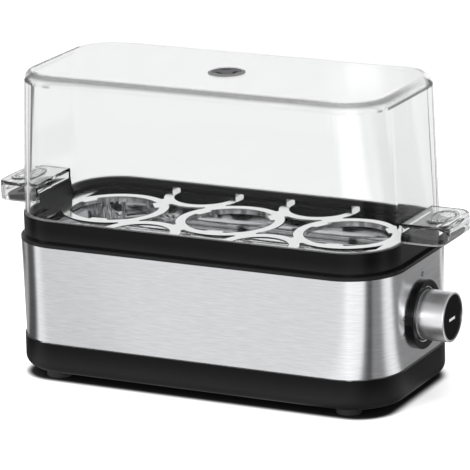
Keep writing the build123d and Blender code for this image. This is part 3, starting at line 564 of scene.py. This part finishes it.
# %% [markdown]
# ## Plastics and ceramics inside
#
# Nothing inside the housing shows in the picture, but the model can be taken apart. The board, the relay
# and the other bought parts have the colours that such parts often have, so that each can be told from its
# neighbour.

# %% The plastics inside
seal_grey = moulded_plastic("seal_grey", (0.30, 0.30, 0.31), 0.5, 1200.0)
board_green = moulded_plastic("board_green", (0.03, 0.16, 0.06), 0.35, 700.0)
case_blue = moulded_plastic("case_blue", (0.03, 0.06, 0.2), 0.35, 900.0)
case_yellow = moulded_plastic("case_yellow", (0.7, 0.5, 0.05), 0.3, 900.0)
case_green = moulded_plastic("case_green", (0.03, 0.2, 0.07), 0.35, 900.0)
phenolic = moulded_plastic("phenolic", (0.6, 0.55, 0.45), 0.5, 900.0)
ceramic = moulded_plastic("ceramic", (0.8, 0.78, 0.72), 0.3, 900.0)
print(len(bpy.data.materials), "materials so far")

# %% [markdown]
# ## Metal with fine scratches
#
# Brushed steel is plain sheet that a belt has scratched in one direction. Each scratch is a fraction of a
# millimetre wide and many times as long. A noise gives that when its place is stretched: a high scale
# across the scratches makes them thin, and a low scale along them makes them long. The scratches change the
# tone, the roughness and, very little, the normal. Anisotropy widens the highlight across them. The same
# function makes the bright and the dull metals, with scales and depths of their own.

# %% Brushed and bright metals
SCRATCH_DEPTH = 0.1 * MM


def brushed_metal(
    name, colour, roughness, scratch, streak, contrast, streaks=0.1, anisotropy=0.0, turned=0.0, relief=0.05,
    tint=None,
):
    """Metal. Scratch and streak are noise scales on the axes, contrast and streaks how much they show."""
    material, finish = new_finish(name)
    point = finish.place()
    scratches = finish.noise(finish.stretch(point, scratch), 1.0, 3.0, 0.65)
    long_streaks = finish.noise(finish.stretch(point, streak), 1.0)
    shade = (scratches - 0.5) * contrast + (long_streaks - 0.5) * streaks + 1.0
    if tint:
        shade = shade * tint(finish, point)
    tone = finish.node("ShaderNodeVectorMath", {"operation": "SCALE"}, {0: colour, "Scale": shade})
    shader = finish.node("ShaderNodeBsdfPrincipled", {}, {
        "Base Color": tone,
        "Metallic": 1.0,
        "Roughness": (scratches - 0.5) * (0.4 * roughness) + roughness,
        "Anisotropic": anisotropy,
        "Anisotropic Rotation": turned,
        "Normal": finish.bump(scratches, relief, SCRATCH_DEPTH),
    })
    finish.surface(shader)
    return material


# %% [markdown]
# ## The steel body and its printed marks
#
# The body is one sheet, brushed along its length. Three small marks are printed beside the knob, one above
# it and two at its left, and here they are plain rings. They could be thin solids, but ink has no thickness
# that the eye could see. So the steel's own colour is darkened where a point lies within the line of a
# ring, and only on the knob's end of the body.

# %% Sleeve
# Middle of each printed mark, as y and z, and its radius, in mm
DIAL_MARKS = [(0.0, 63.4, 1.0), (-21.6, 46.5, 1.0), (-21.4, 38.5, 0.8)]
MARK_LINE = 0.4 * MM
MARKED_END = 100 * MM
INK = 0.92


def dial_marks(finish, point):
    """Dark on a printed mark, and 1 elsewhere."""
    x, y, z = finish.split(point)
    ink = finish.steady(0.0)
    for mark_y, mark_z, radius in DIAL_MARKS:
        off_y, off_z = y - mark_y * MM, z - mark_z * MM
        from_line = abs((off_y * off_y + off_z * off_z) ** 0.5 - radius * MM)
        ink = ink.at_least((1.0 - from_line.above(MARK_LINE)) * x.above(MARKED_END))
    return 1.0 - ink * INK


sleeve_brushed = brushed_metal(
    "sleeve_brushed", colour=(0.795, 0.80, 0.815), roughness=0.20, scratch=(120, 120, 2600),
    streak=(60, 60, 1100), contrast=0.40, streaks=0.14, anisotropy=0.6, turned=0.25, tint=dial_marks,
)
print("the sleeve has", len(DIAL_MARKS), "printed marks")

# %% [markdown]
# ## The knob, the tray and the bowl
#
# The knob's skin is turned on a lathe, so its scratches run round it and are thin along x. The egg tray is
# bright stamped sheet with hardly any scratches. The heating bowl is polished like a mirror, apart from its
# rim, which looks darker all round. A mask on the height gives the rim, measured down from the bowl's top.

# %% Knob, tray and bowl
BOWL_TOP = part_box("heating_bowl")[1].z
RIM_SLOPE = (BOWL_TOP - 2.5 * MM, BOWL_TOP - 1.5 * MM)
RIM_DARKENING = 0.5


def darker_rim(finish, point):
    """Darker on the bowl's rim, and 1 below it."""
    return 1.0 - finish.smooth_step(finish.split(point)[2], *RIM_SLOPE) * RIM_DARKENING


knob_brushed = brushed_metal(
    "knob_brushed", colour=(0.92, 0.92, 0.93), roughness=0.35, scratch=(3000, 30, 30), streak=(600, 12, 12),
    contrast=0.06, streaks=0.04, relief=0.006,
)
tray_bright = brushed_metal(
    "tray_bright", colour=(0.86, 0.86, 0.86), roughness=0.12, scratch=(300, 300, 300), streak=(40, 40, 40),
    contrast=0.05, streaks=0.03, relief=0.01,
)
bowl_bright = brushed_metal(
    "bowl_bright", colour=(0.72, 0.72, 0.73), roughness=0.04, scratch=(260, 260, 260), streak=(30, 30, 30),
    contrast=0.06, streaks=0.04, relief=0.002, tint=darker_rim,
)
print("the bowl's rim starts at z =", round(RIM_SLOPE[0], 4))

# %% [markdown]
# ## Metals inside
#
# Screws, brackets and tabs are zinc plated, which has a fine even sparkle. The heat spreader is mill
# aluminium, with the long marks of the rolls. The heater's sheath is dull and dark, since it has been hot.

# %% Metals inside
zinc = brushed_metal("zinc", (0.6, 0.6, 0.6), 0.35, (900, 900, 900), (90, 90, 90), 0.2)
mill_aluminium = brushed_metal("mill_aluminium", (0.72, 0.72, 0.73), 0.35, (40, 900, 900), (20, 90, 90), 0.2)
heater_dull = brushed_metal("heater_dull", (0.25, 0.24, 0.23), 0.5, (500, 500, 500), (50, 50, 50), 0.3)
print(len(bpy.data.materials), "materials so far")

# %% [markdown]
# ## Clear plastic
#
# The lid is one clear moulding, about 2 mm thick, and its mesh has both faces of the wall, so a Principled
# shader with full transmission bends light as the real one does. Three things need help. On the way to a
# lamp Cycles counts clear plastic as solid, and the tray would lie in shadow, so shadow rays find the
# plastic open. The rounding round the lid's top would turn hard black, and a share of open plastic there
# keeps it soft, with a grey line of painted shade along the front, standing in for the dark edge of the
# thick plastic. And a white matt band is painted on the foot of the lid, a painted highlight for the glint
# of its edge on the black collar.

# %% Soft line along the lid's top
LID_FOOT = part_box("lid_shell")[0].z
LID_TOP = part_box("lid_shell")[1].z
ROUNDING_SLOPE = (LID_TOP - 6 * MM, LID_TOP - 5 * MM)
TOP_SKIN = 0.05 * MM
EDGE_SHARE = 0.75
# Grey of the painted shade line along the front of the lid's top
PAINTED_EDGE_SHADE = 0.28
OPEN_TONE = 0.95
PAINTED_LINE_SLOPE = (LID_TOP - 3.6 * MM, LID_TOP - 0.9 * MM)
FRONT_SLOPE = (-30 * MM, 30 * MM)


def soft_rounding(finish, clear, open_way):
    """Opens the plastic in the rounding of the lid's top, and paints a dark line of shade along its front."""
    depth, height = finish.split(finish.place())[1:]
    facing_up = finish.split(finish.node("ShaderNodeNewGeometry", output=1))[2]
    rounding = finish.smooth_step(height, *ROUNDING_SLOPE) * (1.0 - height.above(LID_TOP - TOP_SKIN))
    sloping = 1.0 - finish.smooth_step(abs(facing_up), 0.9, 0.999)
    front = 1.0 - finish.smooth_step(depth, *FRONT_SLOPE)
    # Painted shade: a darker line along the front of the rounding, for the dark edge of the thick plastic.
    line = finish.smooth_step(height, *PAINTED_LINE_SLOPE) * front * sloping
    painted_shade_way = finish.node("ShaderNodeBsdfTransparent", {}, {"Color": grey(PAINTED_EDGE_SHADE)})
    return finish.over(rounding * EDGE_SHARE, clear, finish.over(line, open_way, painted_shade_way))


print("the rounding starts at z =", round(ROUNDING_SLOPE[0], 4))

# %% [markdown]
# ## Lid and handles
#
# The walls of the lid are thin and nearly parallel, and they bend little of what is behind them. The
# handles are thick and hollow, with many edges, and sparkle more. Both are the same plastic, so both come
# from one function, with a weaker bend for the walls, which keeps the outline of the lid as narrow as it
# looks on the real one.

# %% Clear plastic
# Painted highlight: a white matt band on the lid's foot stands for the glint of its edge
GLINT_BAND_SLOPE = (LID_FOOT + 0.6 * MM, LID_FOOT + 0.9 * MM)
PAINTED_GLINT_SHARE = 0.2


def clear_plastic(name, bending):
    material, finish = new_finish(name)
    clear = finish.node("ShaderNodeBsdfPrincipled", {}, {
        "Base Color": (0.94, 0.945, 0.945, 1),
        "Roughness": 0.0,
        "IOR": bending,
        "Transmission Weight": 1.0,
    })
    open_way = finish.node("ShaderNodeBsdfTransparent", {}, {"Color": grey(OPEN_TONE)})
    softened = soft_rounding(finish, clear, open_way)
    lit_through = finish.over(ray(finish, "Is Shadow Ray"), softened, open_way)
    # Painted highlight along the lid's foot, a white matt share that stands for the glint of its edge.
    painted_glint = finish.node("ShaderNodeBsdfDiffuse", {}, {"Color": grey(0.85)})
    foot = 1.0 - finish.smooth_step(finish.split(finish.place())[2], *GLINT_BAND_SLOPE)
    finish.surface(finish.over(foot * PAINTED_GLINT_SHARE, lit_through, painted_glint))
    return material


lid_clear = clear_plastic("lid_clear", bending=1.20)
handle_clear = clear_plastic("handle_clear", bending=1.50)
print(len(bpy.data.materials), "materials in all")

# %% [markdown]
# ## Dressing the frame
#
# Every CAD node gets its finish in its material slots. A table of finishes with their nodes is easier to
# check than a line of code for each node, and the print at the end names any node that was forgotten.

# %% Which finish goes on which node
finish_of = {
    satin_black: ["base_pan", "cord_gland", "knob_core", "tray_handle_right", "tray_handle_left"],
    collar_black: ["top_frame"],
    gloss_black: ["dial_bezel", "buzzer"],
    cap_black: ["knob_cap"],
    foot_rubber: ["rubber_feet"],
    vent_grey: ["vent_insert"],
    seal_grey: ["bowl_seal"],
    pointer_white: ["knob_pointer"],
    board_green: ["control_board"],
    case_blue: ["relay"],
    case_yellow: ["capacitor"],
    case_green: ["terminal_block"],
    phenolic: ["thermostat"],
    ceramic: ["element_beads"],
    sleeve_brushed: ["steel_sleeve"],
    knob_brushed: ["knob_skin"],
    tray_bright: ["egg_tray", "tray_rivets"],
    bowl_bright: ["heating_bowl"],
    zinc: [
        "base_screws", "heat_shield", "heater_straps", "thermal_fuse", "fuse_clip", "element_tabs",
        "board_screws", "control_nut",
    ],
    mill_aluminium: ["heat_spreader", "rotary_control", "control_shaft"],
    heater_dull: ["heating_element"],
    lid_clear: ["lid_shell"],
}
for material, names in finish_of.items():
    for name in names:
        nodes[name].data.materials.clear()
        nodes[name].data.materials.append(material)
bare = set(nodes) - {name for names in finish_of.values() for name in names}
print("nodes without a finish:", sorted(bare))

# %% [markdown]
# ## The faces of the lid's handles
#
# The lid and its handles are one moulding, so they are one node. Its mesh stays as it is, and each face
# only names which of the two clear finishes it takes: the second one where it lies past the lid's end
# walls.

# %% Handle faces
HANDLE_FROM = 104.5 * MM

lid_mesh = nodes["lid_shell"].data
lid_mesh.materials.append(handle_clear)
for polygon in lid_mesh.polygons:
    polygon.material_index = int(abs(polygon.center.x) > HANDLE_FROM)
in_handles = sum(polygon.material_index for polygon in lid_mesh.polygons)
print(in_handles, "of the lid's", len(lid_mesh.polygons), "faces are in its handles")

# %% [markdown]
# ## A new piece
#
# What isn't in the CAD model is made with bmesh and then handed over in the same way each time: it becomes
# an object with a finish and rides on the body that carries it.

# %% New piece
def new_piece(name, sheet, material, body):
    """A mesh object from a bmesh, with its finish, that moves with a body of the frame."""
    mesh = bpy.data.meshes.new(name)
    sheet.to_mesh(mesh)
    sheet.free()
    mesh.materials.append(material)
    for polygon in mesh.polygons:
        polygon.use_smooth = True
    piece = bpy.data.objects.new(name, mesh)
    bpy.context.scene.collection.objects.link(piece)
    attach(piece, body)
    print(name, "has", len(mesh.polygons), "faces")
    return piece


# %% [markdown]
# ## A ring from a spun circle
#
# Both kinds of trim are closed rings with a round section. Blender has a ready torus, but only as an
# operator of the editor. With bmesh a small circle is drawn where the section lies and spun once round an
# axis. A full spin makes its last section on top of its first, so use_merge and remove_doubles close the
# seam, and the normals are worked out again because a spin can turn a shape inside out.

# %% Spun ring
SECTION_CORNERS = 12


def spun_ring(section_at, section_radius, middle, axis, steps):
    """A closed ring. Its round section lies at a point, and is spun around an axis through the middle."""
    ring = bmesh.new()
    turn = Matrix.Rotation(math.radians(90), 4, "X")
    place = Matrix.Translation(section_at) @ turn
    bmesh.ops.create_circle(ring, segments=SECTION_CORNERS, radius=section_radius, matrix=place)
    bmesh.ops.spin(
        ring, geom=ring.verts[:] + ring.edges[:], cent=middle, axis=axis, angle=math.tau, steps=steps,
        use_merge=True,
    )
    bmesh.ops.remove_doubles(ring, verts=ring.verts[:], dist=0.001 * MM)
    return ring


# %% [markdown]
# ## The ring in the knob's bezel
#
# Inside the black bezel a thin bright arc runs around the foot of the knob. It is a ring of polished metal,
# set into the bezel's recess, so it stays with the housing when the knob turns. Its middle lies on the
# knob's axis, which is the middle of the bezel's box.

# %% Bezel ring
RING_INNER = 13.3 * MM
RING_OUTER = 14.1 * MM
RING_SUNK = 1.0 * MM
RING_STEPS = 96

bezel_low, bezel_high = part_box("dial_bezel")
knob_axis = Vector((0, 0, (bezel_low.z + bezel_high.z) / 2))
ring_top = Vector((bezel_high.x - RING_SUNK, 0, knob_axis.z + (RING_INNER + RING_OUTER) / 2))
ring = spun_ring(ring_top, (RING_OUTER - RING_INNER) / 2, knob_axis, (1, 0, 0), RING_STEPS)
bmesh.ops.recalc_face_normals(ring, faces=ring.faces[:])
new_piece("bezel_ring", ring, tray_bright, "housing")

# %% [markdown]
# ## The finger places of the lid's handles
#
# On top of each clear handle an oval bead runs round the place where the finger goes. It is spun as a round
# ring first, then stretched to an oval, which keeps it one even closed loop. The handle's outer end is
# rounded downwards, so each point of the bead past the start of that rounding comes down with it, by the
# height that the arc has lost there. The left bead is the right one mirrored by a negative scale, which
# turns it inside out, so its normals are worked out last.

# %% Beads on the handles
BEAD_MIDDLE_X = 116.2 * MM
BEAD_HALF_X = 5.8 * MM
BEAD_HALF_Y = 11.5 * MM
BEAD_RADIUS = 0.9 * MM
BEAD_STEPS = 72
HOOD_TOP = 93.3 * MM
HOOD_END_RADIUS = 6.0 * MM
lid_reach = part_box("lid_shell")[1].x


def drop_at(x):
    """How far the rounded end of the handle has fallen at a distance from the middle of the lid."""
    past = max(0.0, x - (lid_reach - HOOD_END_RADIUS))
    return HOOD_END_RADIUS - math.sqrt(max(0.0, HOOD_END_RADIUS**2 - past**2))


def handle_bead(side):
    """The oval bead of the right handle where side is 1, and of the left one where it is -1."""
    bead = spun_ring((BEAD_HALF_X, 0, 0), BEAD_RADIUS, (0, 0, 0), (0, 0, 1), BEAD_STEPS)
    bmesh.ops.scale(bead, vec=(1, BEAD_HALF_Y / BEAD_HALF_X, 1), verts=bead.verts[:])
    bmesh.ops.translate(bead, vec=(BEAD_MIDDLE_X, 0, HOOD_TOP), verts=bead.verts[:])
    for vertex in bead.verts:
        vertex.co.z -= drop_at(vertex.co.x)
    bmesh.ops.scale(bead, vec=(side, 1, 1), verts=bead.verts[:])
    bmesh.ops.recalc_face_normals(bead, faces=bead.faces[:])
    return bead


new_piece("handle_bead_right", handle_bead(1), handle_clear, "lid")
new_piece("handle_bead_left", handle_bead(-1), handle_clear, "lid")

# %% [markdown]
# ## The view
#
# The Standard view shows each colour about as it is written. The dressed cooker must take the same room
# as the CAD model.

# %% The view
bpy.context.scene.view_settings.view_transform = "Standard"
